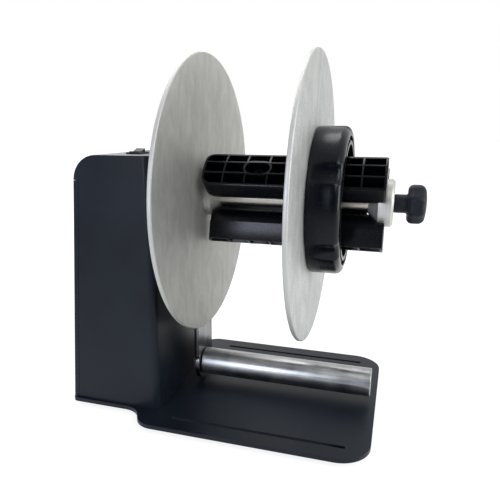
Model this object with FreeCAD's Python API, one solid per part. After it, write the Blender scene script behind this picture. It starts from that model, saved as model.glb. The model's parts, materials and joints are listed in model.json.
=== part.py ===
import FreeCAD, Part
import os
from math import acos, asin, atan, cos, degrees, pi, radians, sin, sqrt, tan

# Desktop label rewinder, in millimetres. The spindle runs along X, Z is up and Y points to the rear.
# It is modelled with the spindle axis at y = 0, z = 0 and the inner flange's roll side at x = 0.
# On export it moves, so that the origin is the middle of the footprint at table height.

V = FreeCAD.Vector
X_AXIS = V(1, 0, 0)
Y_AXIS = V(0, 1, 0)
Z_AXIS = V(0, 0, 1)

# Clearances
running = 0.05
seated = 0.02
sliding = 0.3

# Roll flanges
flange_radius = 100.0
flange_thickness = 3.0
flange_edge = 0.6
roll_width = 77.0

# Base plate
axis_over_base = 150.0
base_thickness = 3.0
base_half_depth = 81.0
base_right = 131.5
base_right_corner = 22.0
base_left_corner = 4.0
base_left_lip = 1.0
housing_lip = 2.0
step_start = -45.0
step_end = -17.0
slot_width = 3.0
slot_start = -6.0
slot_end = 115.6
slot_from_edge = 14.0

# Rubber feet
foot_radius = 9.0
foot_height = 4.0
foot_inset = 20.0
foot_well = 2.0
foot_screw_radius = 2.0
foot_screw_bite = 2.2

# Drive housing, a folded shell with a leaning side cover
housing_wall_x = -19.5
housing_half_depth = 60.0
housing_height = 181.5
housing_left_bottom = -89.5
housing_left_top = -75.5
housing_corner = 18.0
housing_bend = 5.0
sheet = 1.5
cover_width = 3.4
cover_gap = 0.3
cover_drop = 17.0
tab_width = 12.0
cover_screw_rise = (10.6, 83.0, 157.5)
cover_screw_radius = 1.5
cover_screw_head = 3.0
cover_screw_height = 1.5
housing_screw_radius = 2.0

# Bearing cartridge
journal_radius = 5.0
bearing_radius = 13.0
bearing_width = 8.0
cartridge_radius = 16.5
cartridge_step_radius = 20.0
cartridge_flange_radius = 25.4
cartridge_flange = 3.0
cartridge_length = 26.0
cartridge_screw_radius = 1.5
cartridge_screw_circle = 22.9
snap_depth = 0.8
snap_width = 1.1

# Dancer arm and its roller
arm_gap = 2.2
arm_thickness = 3.4
arm_width = 29.0
arm_end_radius = 14.0
arm_ring_radius = 26.0
arm_bush_wall = 2.2
arm_swing = 35.0
roller_drop = 134.7
roller_radius = 10.6
roller_wall = 1.6
roller_length = 131.6
roller_axle_radius = 4.0
roller_bush_depth = 9.0
roller_mouth = 2.2
axle_nut_height = 4.0
axle_nut_across = 12.5
stop_inset = 11.2
stop_pin_radius = 3.0
stop_play = 0.5
stop_thread_radius = 1.5

# Gears and gear motor
tooth_module = 1.0
spindle_teeth = 54
pinion_teeth = 24
gear_width = 8.0
gear_x = -60.0
pressure_angle = 20.0
backlash = 0.16
motor_shaft_radius = 3.0
gearbox_height = 46.0
gearbox_depth = 32.0
gearbox_over_shaft = 13.0
motor_radius = 12.0
motor_length = 31.0
motor_screw_radius = 1.5

# Spindle
spindle_radius = 7.5
spindle_end = 120.5
rod_radius = 4.0
rod_grip = 34.0

# Expanding jaws, in the photographed setting
jaw_count = 3
jaw_angle = 43.4
jaw_radius = 34.05
jaw_half_width = 13.4
jaw_depth = 12.3
jaw_floor = 2.0
jaw_start = 4.6
jaw_end = 128.0
jaw_wall = 1.6
jaw_inner_corner = 6.0
jaw_outer_corner = 1.5
rib = 1.2
cell_count_long = 8
cell_count_wide = 3
jaw_in = 0.5
jaw_out = 4.1
pocket_cells = (2, 5)
pocket_length = 20.0
pocket_width = 12.0
pocket_wall = 1.5
keel_width = 10.0
keel_step = 2.0
guide_shank_radius = 2.0
guide_head_radius = 3.6
guide_head_height = 3.0

# Cones and clamping knob
cone_angle = 45.0
cone_tip = 0.8
hub_radius = 14.5
hub_length = 4.5
hub_screw_radius = 1.5
hub_screw_circle = 11.2
end_ring_radius = 16.2
end_ring_end = 133.0
end_cone_length = 16.5
end_wall = 4.0
knob_neck_radius = 6.3
knob_start = 141.5
knob_end = 154.0
knob_radius = 13.3
knob_lobe_count = 8
knob_valley = 0.6
knob_scoop = 7.0
knob_front_rim = 4.2
knob_back_rim = 2.0

# Outer flange sleeve and hand wheel
sleeve_clearance = 0.6
sleeve_wall = 2.6
sleeve_proud = 3.0
sleeve_shoulder = 4.0
key_thickness = 2.4
key_length = 17.0
key_bore = 17.2
wheel_radius = 51.0
wheel_width = 19.0
wheel_scoop_count = 6
wheel_scoop_angle = 26.0
wheel_scoop = 12.0
wheel_scoop_ahead = 5.0
wheel_scoop_above = 4.5
wheel_recess = 44.6
wheel_rim = 5.0
wheel_heel = 0.8

# Controls
rocker_x = -41.0
rocker_y = -34.0
rocker_width = 9.2
rocker_depth = 13.6
rocker_frame = 0.9
rocker_lift = 1.2
rocker_pivot = 0.4
rocker_pin_radius = 0.45
rocker_pin_length = 0.7
rocker_tilt = 9.0
inlet_x = -52.0
inlet_z = -128.0
inlet_radius = 4.0
socket_radius = 2.9
socket_depth = 9.0
dial_x = -52.0
dial_z = -96.0
dial_bush_radius = 3.5
dial_shaft_radius = 2.4
dial_radius = 7.0
dial_height = 10.0
dial_flute_count = 18
board_x = -77.0
board_margin = 0.5
board_length = 46.0
board_depth = 60.0
board_thickness = 1.6
standoff_height = 7.0
standoff_radius = 3.0
standoff_inset = 4.0
standoff_pin_radius = 1.5
board_blocks = ((10.0, 28.0, 50.0, 58.0, 9.0), (14.0, 30.0, 28.0, 35.0, 2.4), (24.0, 38.0, 9.0, 21.0, 10.0))
capacitor = (13.0, 15.0, 4.0, 11.0)

# Levels and places that several pieces share
base_top = -axis_over_base
base_bottom = base_top - base_thickness
floor_z = base_bottom - foot_height
housing_top = base_top + housing_height
cover_top = housing_top - cover_drop
narrow_half_depth = housing_half_depth + housing_lip
base_left = housing_left_bottom - base_left_lip
lean = atan((housing_left_top - housing_left_bottom) / housing_height)
cover_out = V(-cos(lean), 0, sin(lean))
wall_inside = housing_wall_x - sheet
arm_face = -flange_thickness - arm_gap
arm_back = arm_face - arm_thickness
cartridge_back = housing_wall_x - cartridge_length
cartridge_front = arm_face + snap_width + 0.5
inner_bearing_x = cartridge_back + 1.0
outer_bearing_x = arm_back - bearing_width + 1.0
spindle_shoulder = outer_bearing_x + bearing_width + 0.2
roller_start = arm_face + 0.5
roller_end = roller_start + roller_length
clip_x = roller_end - roller_mouth + sliding
gear_centres = tooth_module * (spindle_teeth + pinion_teeth) / 2
gearbox_x = gear_x + gear_width + 3.0
stop_reach = arm_width / 2 + stop_pin_radius + stop_play
board_y = housing_half_depth - sheet - tab_width - board_margin - board_depth
gearbox_top = -gear_centres + gearbox_over_shaft
gearbox_bottom = gearbox_top - gearbox_height
motor_x = (gearbox_x + wall_inside) / 2
jaw_crown = sqrt(jaw_radius ** 2 - jaw_half_width ** 2)
jaw_inner = jaw_crown - jaw_depth
cell_floor = jaw_inner + jaw_floor
cell_pitch = (jaw_end - jaw_start) / cell_count_long
cone_slope = tan(radians(cone_angle))
cone_run = (hub_radius - spindle_radius - cone_tip) / cone_slope
jaw_travel = (jaw_in + jaw_out) / cone_slope
end_cone_mouth = end_ring_end - end_cone_length
end_cone_rim = end_cone_mouth + cone_run
sleeve_bore = jaw_radius + jaw_out + sleeve_clearance
sleeve_radius = sleeve_bore + sleeve_wall
outer_flange_x = roll_width
wheel_x = outer_flange_x + flange_thickness
wheel_end = wheel_x + wheel_width
sleeve_end = wheel_end + sleeve_proud


def box(x0, x1, y0, y1, z0, z1):
    return Part.makeBox(x1 - x0, y1 - y0, z1 - z0, V(x0, y0, z0))


def rod(radius, x0, x1, y=0.0, z=0.0):
    return Part.makeCylinder(radius, x1 - x0, V(x0, y, z), X_AXIS)


def post(radius, z0, z1, x=0.0, y=0.0):
    return Part.makeCylinder(radius, z1 - z0, V(x, y, z0), Z_AXIS)


def ring(outer, inner, x0, x1, y=0.0, z=0.0):
    return rod(outer, x0, x1, y, z).cut(rod(inner, x0 - 1, x1 + 1, y, z))


def outline(points):
    return Part.Face(Part.makePolygon(points + points[:1]))


def turned(profile, y=0.0, z=0.0):
    """A body of revolution about the X direction, from (x, radius) points."""
    return outline([V(x, y, z + r) for x, r in profile]).revolve(V(0, y, z), X_AXIS, 360)


def about_x(shape, angle):
    """A copy turned about the spindle. A positive angle lifts the side that faces the front."""
    copy = shape.copy()
    copy.rotate(V(0, 0, 0), X_AXIS, -angle)
    return copy


def around(shape, count, start=0.0):
    return [about_x(shape, start + 360.0 * i / count) for i in range(count)]


def at_jaws(shape):
    """Copies of a shape made with its middle line pointing up, one at each jaw."""
    return around(shape, jaw_count, jaw_angle - 90.0)


def group(shapes):
    return Part.makeCompound(shapes)


def place(shape, position, direction):
    """A copy of a shape made along +Z, put at a position and pointing in a direction."""
    copy = shape.copy()
    copy.Placement = FreeCAD.Placement(position, FreeCAD.Rotation(Z_AXIS, direction)).multiply(copy.Placement)
    return copy


def edges_along_z(shape, test):
    upright = [e for e in shape.Edges if len(e.Vertexes) == 2 and abs(e.tangentAt(e.FirstParameter).z) > 0.98]
    return [e for e in upright if test(e.CenterOfMass)]


def circles(shape, test):
    return [e for e in shape.Edges if abs(e.BoundBox.XLength) < 0.01 and test(e.CenterOfMass.x)]


def screw(shank, length, head, height):
    """A pan head screw along Z: its head sits on z = 0 and the shank goes down."""
    bevel = 0.35 * height
    points = [V(0, 0, height), V(head - bevel, 0, height), V(head, 0, height - bevel), V(head, 0, 0),
              V(shank, 0, 0), V(shank, 0, -length), V(0, 0, -length)]
    return outline(points).revolve(V(0, 0, 0), Z_AXIS, 360)


def hexagon(across, height, bore):
    corner = across / sqrt(3)
    points = [V(corner * cos(radians(60 * i)), corner * sin(radians(60 * i)), 0) for i in range(6)]
    return outline(points).extrude(V(0, 0, height)).cut(post(bore, -1, height + 1))


def obround(length, width, x, z0, z1):
    r = width / 2
    run = (length - width) / 2
    ends = [post(r, z0, z1, x - run), post(r, z0, z1, x + run)]
    return box(x - run, x + run, -r, r, z0, z1).fuse(ends).removeSplitter()


def left_line(z, inset=0.0):
    """X of the housing's leaning left side at a height, moved inwards by an inset."""
    share = (z - base_top) / housing_height
    return housing_left_bottom + share * (housing_left_top - housing_left_bottom) + inset / cos(lean)


def leaning_strip(inset0, inset1, z0, z1, y0, y1):
    """A strip that follows the leaning side between two insets."""
    points = [V(left_line(z0, inset0), y0, z0), V(left_line(z1, inset0), y0, z1),
              V(left_line(z1, inset1), y0, z1), V(left_line(z0, inset1), y0, z0)]
    return outline(points).extrude(V(0, y1 - y0, 0))


def mirrored(point):
    return V(point.x, -point.y, point.z)


def base_outline():
    """A narrow tongue under the housing, joined to the wide part by S curves."""
    rise = base_half_depth - narrow_half_depth
    run = step_end - step_start
    bend = (run ** 2 + rise ** 2) / (4 * rise)
    half = asin(run / 2 / bend) / 2
    left = V(base_left, -narrow_half_depth, 0)
    start = V(step_start, -narrow_half_depth, 0)
    first = start + V(bend * sin(half), -bend * (1 - cos(half)), 0)
    middle = V((step_start + step_end) / 2, -(narrow_half_depth + base_half_depth) / 2, 0)
    end = V(step_end, -base_half_depth, 0)
    second = end + V(-bend * sin(half), bend * (1 - cos(half)), 0)
    right = V(base_right, -base_half_depth, 0)
    edges = []
    for side in (lambda p: p, mirrored):
        edges += [Part.LineSegment(side(left), side(start)), Part.Arc(side(start), side(first), side(middle)),
                  Part.Arc(side(middle), side(second), side(end)), Part.LineSegment(side(end), side(right))]
    edges += [Part.LineSegment(right, mirrored(right)), Part.LineSegment(left, mirrored(left))]
    return Part.Face(Part.Wire(Part.__sortEdges__([e.toShape() for e in edges])))


def foot_places():
    left_x = base_left + foot_inset
    right_x = base_right - foot_inset
    left_y = narrow_half_depth - foot_inset
    right_y = base_half_depth - foot_inset
    return [(x, side * y) for x, y in ((left_x, left_y), (right_x, right_y)) for side in (-1, 1)]


def housing_screw_places():
    y = housing_half_depth - sheet - tab_width / 2
    near = wall_inside - tab_width / 2
    far = housing_left_bottom + 2.5 * tab_width
    return [(x, side * y) for x in (near, far) for side in (-1, 1)]


def base_plate():
    plate = base_outline().extrude(V(0, 0, base_thickness))
    plate.translate(V(0, 0, base_bottom))
    plate = plate.makeFillet(base_right_corner, edges_along_z(plate, lambda c: c.x > base_right - 1))
    plate = plate.makeFillet(base_left_corner, edges_along_z(plate, lambda c: c.x < base_left + 1))
    slot_y = base_half_depth - slot_from_edge
    slot = obround(slot_end - slot_start, slot_width, (slot_start + slot_end) / 2, base_bottom - 1, base_top + 1)
    for side in (-1, 1):
        plate = plate.cut(slot.translated(V(0, side * slot_y, 0)))
    for x, y in housing_screw_places():
        plate = plate.cut(post(housing_screw_radius + 0.2, base_bottom - 1, base_top + 1, x, y))
    for x, y in foot_places():
        plate = plate.cut(post(foot_screw_radius + seated, base_bottom - 1, base_bottom + foot_screw_bite, x, y))
    return plate


def rubber_feet():
    feet = []
    for x, y in foot_places():
        foot = Part.makeCone(foot_radius - 1, foot_radius, foot_height, V(x, y, floor_z), Z_AXIS)
        foot = foot.cut(post(0.5 * foot_radius, floor_z - 1, floor_z + foot_well, x, y))
        feet.append(foot.cut(post(foot_screw_radius + seated, floor_z - 1, base_bottom + 1, x, y)))
    return group(feet)


def foot_screws():
    length = foot_height - foot_well + foot_screw_bite - 0.2
    shape = screw(foot_screw_radius, length, 0.42 * foot_radius, 0.6 * foot_well)
    return group([place(shape, V(x, y, floor_z + foot_well), -Z_AXIS) for x, y in foot_places()])


def housing_profile(inset):
    """The housing's outline seen from the front, moved inwards by an inset."""
    top = housing_top - inset
    right = housing_wall_x - inset
    radius = housing_corner - inset
    tangent = radius * tan((pi / 2 - lean) / 2)
    over = V(left_line(top, inset) + tangent, 0, top)
    side_z = top - tangent * cos(lean)
    side = V(left_line(side_z, inset), 0, side_z)
    centre = over - V(0, 0, radius)
    outwards = (side + over) * 0.5 - centre
    middle = centre + outwards * (radius / outwards.Length)
    bottom_left = V(left_line(base_top, inset), 0, base_top)
    bottom_right = V(right, 0, base_top)
    top_right = V(right, 0, top)
    edges = [Part.LineSegment(bottom_left, side), Part.Arc(side, middle, over), Part.LineSegment(over, top_right),
             Part.LineSegment(top_right, bottom_right), Part.LineSegment(bottom_right, bottom_left)]
    return Part.Face(Part.Wire([e.toShape() for e in edges]))


def housing_block(inset):
    half = housing_half_depth - inset
    block = housing_profile(inset).extrude(V(0, 2 * half, 0)).translated(V(0, -half, 0))
    right = edges_along_z(block, lambda c: abs(c.x - housing_wall_x + inset) < 0.1)
    return block.makeFillet(housing_bend - inset, right)


def cover_screw_places():
    y = housing_half_depth - sheet - tab_width / 2 + 1
    levels = [base_top + rise for rise in cover_screw_rise]
    return [V(left_line(z), side * y, z) for z in levels for side in (-1, 1)]


def wall_hole(radius, y, z):
    return rod(radius, wall_inside - 1, housing_wall_x + 1, y, z)


def rear_hole(radius, x, z):
    return Part.makeCylinder(radius, 4 * sheet, V(x, housing_half_depth - 2 * sheet, z), Y_AXIS)


def folded_tabs():
    """The tabs that the side cover screws into, and the feet that the base screws into."""
    tabs = []
    inner_y = housing_half_depth - sheet
    tab_inset = cover_width + cover_gap
    for side in (-1, 1):
        y0, y1 = sorted((side * inner_y, side * (inner_y - tab_width)))
        tabs.append(leaning_strip(tab_inset, tab_inset + sheet, base_top + 2 * sheet, cover_top, y0, y1))
        tabs.append(box(housing_left_bottom + tab_width, wall_inside, y0, y1, base_top, base_top + sheet))
    return tabs


def housing_shell():
    shell = housing_block(0).cut(housing_block(sheet))
    deep = 2 * housing_half_depth
    shell = shell.cut(leaning_strip(-2, cover_width + cover_gap, base_top - 1, cover_top, -deep, deep))
    shell = shell.fuse(folded_tabs())
    for p in cover_screw_places():
        shell = shell.cut(Part.makeCylinder(cover_screw_radius + seated, 12, p - cover_out * 10, cover_out))
    for x, y in housing_screw_places():
        shell = shell.cut(post(housing_screw_radius + seated, base_top - 1, base_top + 3, x, y))
    holes = [wall_hole(cartridge_step_radius + sliding, 0, 0)]
    holes += [wall_hole(cartridge_screw_radius + 0.2, y, z) for y, z in cartridge_screw_places()]
    holes += [wall_hole(motor_screw_radius + 0.2, y, z) for y, z in motor_screw_places()]
    holes += [wall_hole(stop_thread_radius + seated, y, z) for y, z in stop_places()]
    holes += [rear_hole(inlet_radius + 0.1, inlet_x, inlet_z), rear_hole(dial_bush_radius + 0.1, dial_x, dial_z)]
    half_x, half_y = rocker_width / 2, rocker_depth / 2
    holes.append(box(rocker_x - half_x, rocker_x + half_x, rocker_y - half_y, rocker_y + half_y,
                     housing_top - 2 * sheet, housing_top + 1))
    return shell.cut(holes).removeSplitter()


def side_cover():
    """A plate with folded edges, on spacers where its screws go through."""
    y = housing_half_depth
    low, high = base_top + 0.5, cover_top - cover_gap
    cover = leaning_strip(0, sheet, low, high, -y, y)
    for side in (-1, 1):
        y0, y1 = sorted((side * y, side * (y - sheet)))
        cover = cover.fuse(leaning_strip(0, cover_width, low, high, y0, y1))
    spacer_length = cover_width + cover_gap - sheet
    for p in cover_screw_places():
        cover = cover.fuse(Part.makeCylinder(3.2, spacer_length, p - cover_out * (sheet + spacer_length), cover_out))
        cover = cover.cut(Part.makeCylinder(cover_screw_radius + 0.15, 12, p - cover_out * 10, cover_out))
    return cover.removeSplitter()


def side_cover_screws():
    length = cover_width + cover_gap + 2 * sheet
    shape = screw(cover_screw_radius, length, cover_screw_head, cover_screw_height)
    return group([place(shape, p, cover_out) for p in cover_screw_places()])


def housing_screws():
    shape = screw(housing_screw_radius, base_thickness + sheet, 3.6, 1.6)
    return group([place(shape, V(x, y, base_bottom), -Z_AXIS) for x, y in housing_screw_places()])


def cartridge_screw_places():
    r = cartridge_screw_circle
    return [(r * cos(radians(a)), r * sin(radians(a))) for a in (45, 135, 225, 315)]


def bearing_cartridge():
    """A turned housing for both bearings. Its nose stands out of the wall and carries the arm."""
    seat = bearing_radius + seated
    shoulder = bearing_radius - 2.5
    groove = cartridge_radius - snap_depth
    snap_x = arm_face + 0.1
    profile = [
        (cartridge_back, seat), (cartridge_back, cartridge_radius),
        (wall_inside - cartridge_flange, cartridge_radius),
        (wall_inside - cartridge_flange, cartridge_flange_radius), (wall_inside, cartridge_flange_radius),
        (wall_inside, cartridge_step_radius), (arm_back - sliding, cartridge_step_radius),
        (arm_back - sliding, cartridge_radius), (snap_x, cartridge_radius), (snap_x, groove),
        (snap_x + snap_width, groove), (snap_x + snap_width, cartridge_radius),
        (cartridge_front, cartridge_radius), (cartridge_front, seat), (outer_bearing_x, seat),
        (outer_bearing_x, shoulder), (inner_bearing_x + bearing_width, shoulder),
        (inner_bearing_x + bearing_width, seat),
    ]
    thread = cartridge_screw_radius + seated
    holes = [rod(thread, wall_inside - 2 * cartridge_flange, wall_inside + 1, y, z)
             for y, z in cartridge_screw_places()]
    return turned(profile).cut(holes)


def cartridge_screws():
    shape = screw(cartridge_screw_radius, sheet + cartridge_flange, 2.6, 1.4)
    return group([place(shape, V(housing_wall_x, y, z), X_AXIS) for y, z in cartridge_screw_places()])


def ball_bearing(x0):
    """A shielded bearing: its shields sit a little below the faces of the two rings."""
    groove = 0.5
    body = ring(bearing_radius, journal_radius + running, x0, x0 + bearing_width)
    for face in (x0 - 1, x0 + bearing_width - groove):
        body = body.cut(ring(bearing_radius - 2.2, journal_radius + 2.4, face, face + 1 + groove))
    return body


def involute(base, r):
    return tan(acos(base / r)) - acos(base / r) if r > base else 0.0


def gear(teeth, bore, y, z, phase):
    """A spur gear with involute flanks. The phase is the direction of the first tooth, in degrees."""
    pitch = tooth_module * teeth / 2
    base = pitch * cos(radians(pressure_angle))
    tip = pitch + tooth_module
    root = pitch - 1.25 * tooth_module
    half = pi / 2 / teeth - backlash / 4 / pitch + involute(base, pitch)
    start = max(root, base)
    flank = [(root, 0.0)] if root < base else []
    flank += [(r, involute(base, r)) for r in (start + (tip - start) * t for t in (0, 0.35, 0.7, 1))]
    points = []
    for i in range(teeth):
        centre = radians(phase) + 2 * pi * i / teeth
        rising = [(r, centre - half + turn) for r, turn in flank]
        falling = [(r, centre + half - turn) for r, turn in reversed(flank)]
        points += [V(gear_x, y + r * cos(a), z + r * sin(a)) for r, a in rising + falling]
    blank = outline(points).extrude(V(gear_width, 0, 0))
    return blank.cut(rod(bore, gear_x - 1, gear_x + gear_width + 1, y, z))


def spindle_gear():
    """The large gear: a recessed web with lightening holes, and a hub against the cartridge."""
    bore = journal_radius + seated
    hub_radius_x = 10.0
    web_outer = tooth_module * spindle_teeth / 2 - 4.5
    body = gear(spindle_teeth, bore, 0, 0, 90.0)
    body = body.cut(ring(web_outer, hub_radius_x, gear_x - 1, gear_x + 2.5))
    hole = rod(4.0, gear_x - 1, gear_x + gear_width + 1, 0, (web_outer + hub_radius_x) / 2)
    body = body.cut(around(hole, 5))
    return body.fuse(ring(hub_radius_x, bore, gear_x + gear_width, cartridge_back - 0.6))


def pinion():
    """The motor's gear, with a gap opposite the large gear's lowest tooth."""
    below = (270.0 - 90.0) * spindle_teeth / 360.0
    offset = (below - round(below)) * 360.0 / pinion_teeth
    phase = 90.0 + 180.0 / pinion_teeth + offset
    return gear(pinion_teeth, motor_shaft_radius + seated, 0, -gear_centres, phase)


def motor_screw_places():
    y = gearbox_depth / 2 - 4
    return [(side * y, z) for side in (-1, 1) for z in (gearbox_top - 4, gearbox_bottom + 4)]


def gearbox():
    """The right angle worm gearbox, bolted to the housing wall."""
    case = box(gearbox_x, wall_inside, -gearbox_depth / 2, gearbox_depth / 2, gearbox_bottom, gearbox_top)
    case = case.makeFillet(2.0, [e for e in case.Edges if abs(e.tangentAt(0).x) > 0.9])
    case = case.fuse(rod(6.0, gearbox_x - 2, gearbox_x, 0, -gear_centres))
    thread = motor_screw_radius + seated
    holes = [rod(thread, wall_inside - 6, wall_inside + 1, y, z) for y, z in motor_screw_places()]
    holes.append(rod(motor_shaft_radius + running, gearbox_x - 3, gearbox_x + 12, 0, -gear_centres))
    return case.cut(holes)


def motor():
    """The motor hangs below the gearbox, with its end cap and terminals."""
    can = post(motor_radius, gearbox_bottom - motor_length, gearbox_bottom, motor_x)
    can = can.makeFillet(1.5, [e for e in can.Edges if e.Closed and e.CenterOfMass.z < gearbox_bottom - 1])
    end = gearbox_bottom - motor_length
    cap = post(4.0, end - 2, end, motor_x)
    terminals = [box(motor_x + x - 1.4, motor_x + x + 1.4, -0.25, 0.25, end - 6, end) for x in (-7.5, 7.5)]
    return can.fuse([cap] + terminals)


def motor_shaft():
    return rod(motor_shaft_radius, gear_x - 1, gearbox_x + 11.5, 0, -gear_centres)


def motor_screws():
    shape = screw(motor_screw_radius, sheet + 5.5, 2.6, 1.4)
    return group([place(shape, V(housing_wall_x, y, z), X_AXIS) for y, z in motor_screw_places()])


def stop_places():
    """Where the bumpers meet the arm's edges at the ends of its swing."""
    swing = radians(arm_swing)
    y = housing_half_depth - stop_inset
    along = (y - stop_reach * cos(swing)) / sin(swing)
    z = stop_reach * sin(swing) - along * cos(swing)
    return [(-y, z), (y, z)]


def arm_stops():
    stops = []
    for y, z in stop_places():
        bumper = rod(stop_pin_radius, housing_wall_x, arm_face, y, z)
        bumper = bumper.makeFillet(0.8, circles(bumper, lambda x: x > arm_face - 0.1))
        stops.append(bumper.fuse(rod(stop_thread_radius, wall_inside - 3, housing_wall_x, y, z)))
    return group(stops)


def dancer_arm():
    """A flat bar with a ring round the cartridge's nose and a round end at the roller."""
    half = arm_width / 2
    tangent_z = -roller_drop + sqrt(max(arm_end_radius ** 2 - (half - 2.0) ** 2, 0))
    points = [V(arm_back, -half, -0.1), V(arm_back, half, -0.1), V(arm_back, half, tangent_z + 2.0),
              V(arm_back, half - 2.0, tangent_z), V(arm_back, 2.0 - half, tangent_z),
              V(arm_back, -half, tangent_z + 2.0)]
    bar = outline(points).extrude(V(arm_thickness, 0, 0))
    end = rod(arm_end_radius, arm_back, arm_face, 0, -roller_drop)
    arm = rod(arm_ring_radius, arm_back, arm_face).fuse([bar, end])
    arm = arm.cut(rod(cartridge_radius + arm_bush_wall, arm_back - 1, arm_face + 1))
    arm = arm.cut(rod(roller_axle_radius + seated, arm_back - 1, arm_face + 1, 0, -roller_drop))
    return arm.removeSplitter()


def arm_bush():
    return ring(cartridge_radius + arm_bush_wall - seated, cartridge_radius + running, arm_back, arm_face)


def arm_retaining_ring():
    x = arm_face + 0.1
    body = ring(cartridge_radius + 1.6, cartridge_radius - snap_depth + seated, x + seated,
                x + snap_width - seated)
    return body.cut(box(x - 1, x + 2, -2.5, 2.5, 0, cartridge_radius + 4))


def roller_tube():
    tube = ring(roller_radius, roller_radius - roller_wall, roller_start, roller_end, 0, -roller_drop)
    rims = [e for e in tube.Edges if e.Closed and e.Length > 2 * pi * (roller_radius - 0.1)]
    return tube.makeChamfer(0.4, rims)


def roller_bushes():
    bore = roller_axle_radius + running
    rim = roller_radius - roller_wall - seated
    left = ring(rim, bore, roller_start + sliding, roller_start + roller_bush_depth, 0, -roller_drop)
    right = ring(rim, bore, roller_end - roller_bush_depth, roller_end - roller_mouth, 0, -roller_drop)
    return group([left, right])


def roller_axle():
    """The axle's thread goes through the arm, and a groove at the free end takes a clip."""
    r = roller_axle_radius
    back = arm_back - axle_nut_height - 1.2
    profile = [(back, 0), (back, r), (arm_face, r), (arm_face, r + 2), (arm_face + 0.4, r + 2),
               (arm_face + 0.4, r), (clip_x, r), (clip_x, r - 0.6), (clip_x + 0.8, r - 0.6),
               (clip_x + 0.8, r), (roller_end - 0.4, r), (roller_end - 0.4, 0)]
    return turned(profile, 0, -roller_drop)


def axle_clip():
    clip = ring(roller_axle_radius + 2.4, roller_axle_radius - 0.6 + seated, clip_x + seated,
                clip_x + 0.8 - seated, 0, -roller_drop)
    return clip.cut(box(clip_x - 1, clip_x + 2, -2.2, 2.2, -roller_drop, -roller_drop + 9))


def axle_nut():
    nut = hexagon(axle_nut_across, axle_nut_height, roller_axle_radius + seated)
    return place(nut, V(arm_back - axle_nut_height, 0, -roller_drop), X_AXIS)


def spindle_shaft():
    bore = rod_radius + 0.1
    depth = spindle_end - rod_grip - 2 * jaw_travel - 1
    profile = [(gear_x - 2, 0), (gear_x - 2, journal_radius), (spindle_shoulder, journal_radius),
               (spindle_shoulder, spindle_radius), (spindle_end, spindle_radius), (spindle_end, bore),
               (depth, bore), (depth, 0)]
    return turned(profile).cut(guide_screw_shapes(seated))


def flange_disc(x0, bore):
    disc = rod(flange_radius, x0, x0 + flange_thickness)
    disc = disc.makeChamfer(flange_edge, [e for e in disc.Edges if e.Closed])
    return disc.cut(rod(bore, x0 - 1, x0 + flange_thickness + 1))


def hub_screws(clearance=0.0):
    """Countersunk screws through the inner flange into its hub."""
    x = -flange_thickness
    shank = hub_screw_radius + clearance
    profile = [(x, 0), (x, 2 * shank), (x + shank, shank), (hub_length - 1, shank), (hub_length - 1, 0)]
    return around(turned(profile, 0, hub_screw_circle), 3)


def inner_flange():
    return flange_disc(-flange_thickness, spindle_radius + seated).cut(hub_screws(seated))


def inner_hub():
    """The fixed hub: a collar on the flange and the cone that the jaws' inner feet ride on."""
    bore = spindle_radius + seated
    tip = hub_length + cone_run
    profile = [(0, bore), (0, hub_radius), (hub_length, hub_radius), (tip, spindle_radius + cone_tip), (tip, bore)]
    return turned(profile).cut(hub_screws(seated))


def flange_screws():
    return group(hub_screws())


def end_cone():
    """The sliding cone and its collar, pushed along the spindle by the knob."""
    bore = spindle_radius + running
    screw_bore = rod_radius + 0.1
    wall_x = end_ring_end - end_wall
    profile = [
        (end_cone_mouth, bore), (end_cone_mouth, spindle_radius + cone_tip), (end_cone_rim, hub_radius),
        (end_cone_rim, end_ring_radius - 0.5), (end_cone_rim + 0.5, end_ring_radius),
        (end_ring_end - 1.5, end_ring_radius), (end_ring_end, end_ring_radius - 1.5),
        (end_ring_end, screw_bore), (wall_x, screw_bore), (wall_x, bore),
    ]
    return turned(profile)


def clamp_screw():
    return rod(rod_radius, spindle_end - rod_grip, knob_end - 5.0)


def clamping_knob():
    """A round knob with a well rounded front, shallow scoops round it, and a neck."""
    head = rod(knob_radius, knob_start, knob_end)
    head = head.makeFillet(knob_front_rim, circles(head, lambda x: x > knob_end - 0.1))
    head = head.makeFillet(knob_back_rim, circles(head, lambda x: x < knob_start + 0.1))
    scoop = rod(knob_scoop, knob_start - 1, knob_end + 1, 0, knob_radius - knob_valley + knob_scoop)
    head = head.cut(around(scoop, knob_lobe_count, 180.0 / knob_lobe_count))
    neck = rod(knob_neck_radius, end_ring_end + seated, knob_start + knob_back_rim)
    return head.fuse(neck).cut(rod(rod_radius + seated, end_ring_end - 1, knob_end - 5.0))


def pocket_x(cell):
    return jaw_start + (cell + 0.5) * cell_pitch


def jaw_blank():
    """A jaw without its cells: crowned outside, flat inside, its inner end rounded."""
    block = box(jaw_start, jaw_end, -jaw_half_width, jaw_half_width, jaw_inner, jaw_radius + 1)
    block = block.makeFillet(jaw_inner_corner, edges_along_z(block, lambda c: c.x < jaw_start + 1))
    block = block.makeFillet(jaw_outer_corner, edges_along_z(block, lambda c: c.x > jaw_end - 1))
    return rod(jaw_radius, jaw_start, jaw_end).common(block)


def spans(start, end, count, wall):
    """The open stretches between evenly spaced ribs, with thicker walls at both ends."""
    pitch = (end - start) / count
    inner = []
    for i in range(count):
        low = start + i * pitch + (wall if i == 0 else rib / 2)
        high = start + (i + 1) * pitch - (wall if i == count - 1 else rib / 2)
        inner.append((low, high))
    return inner


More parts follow.
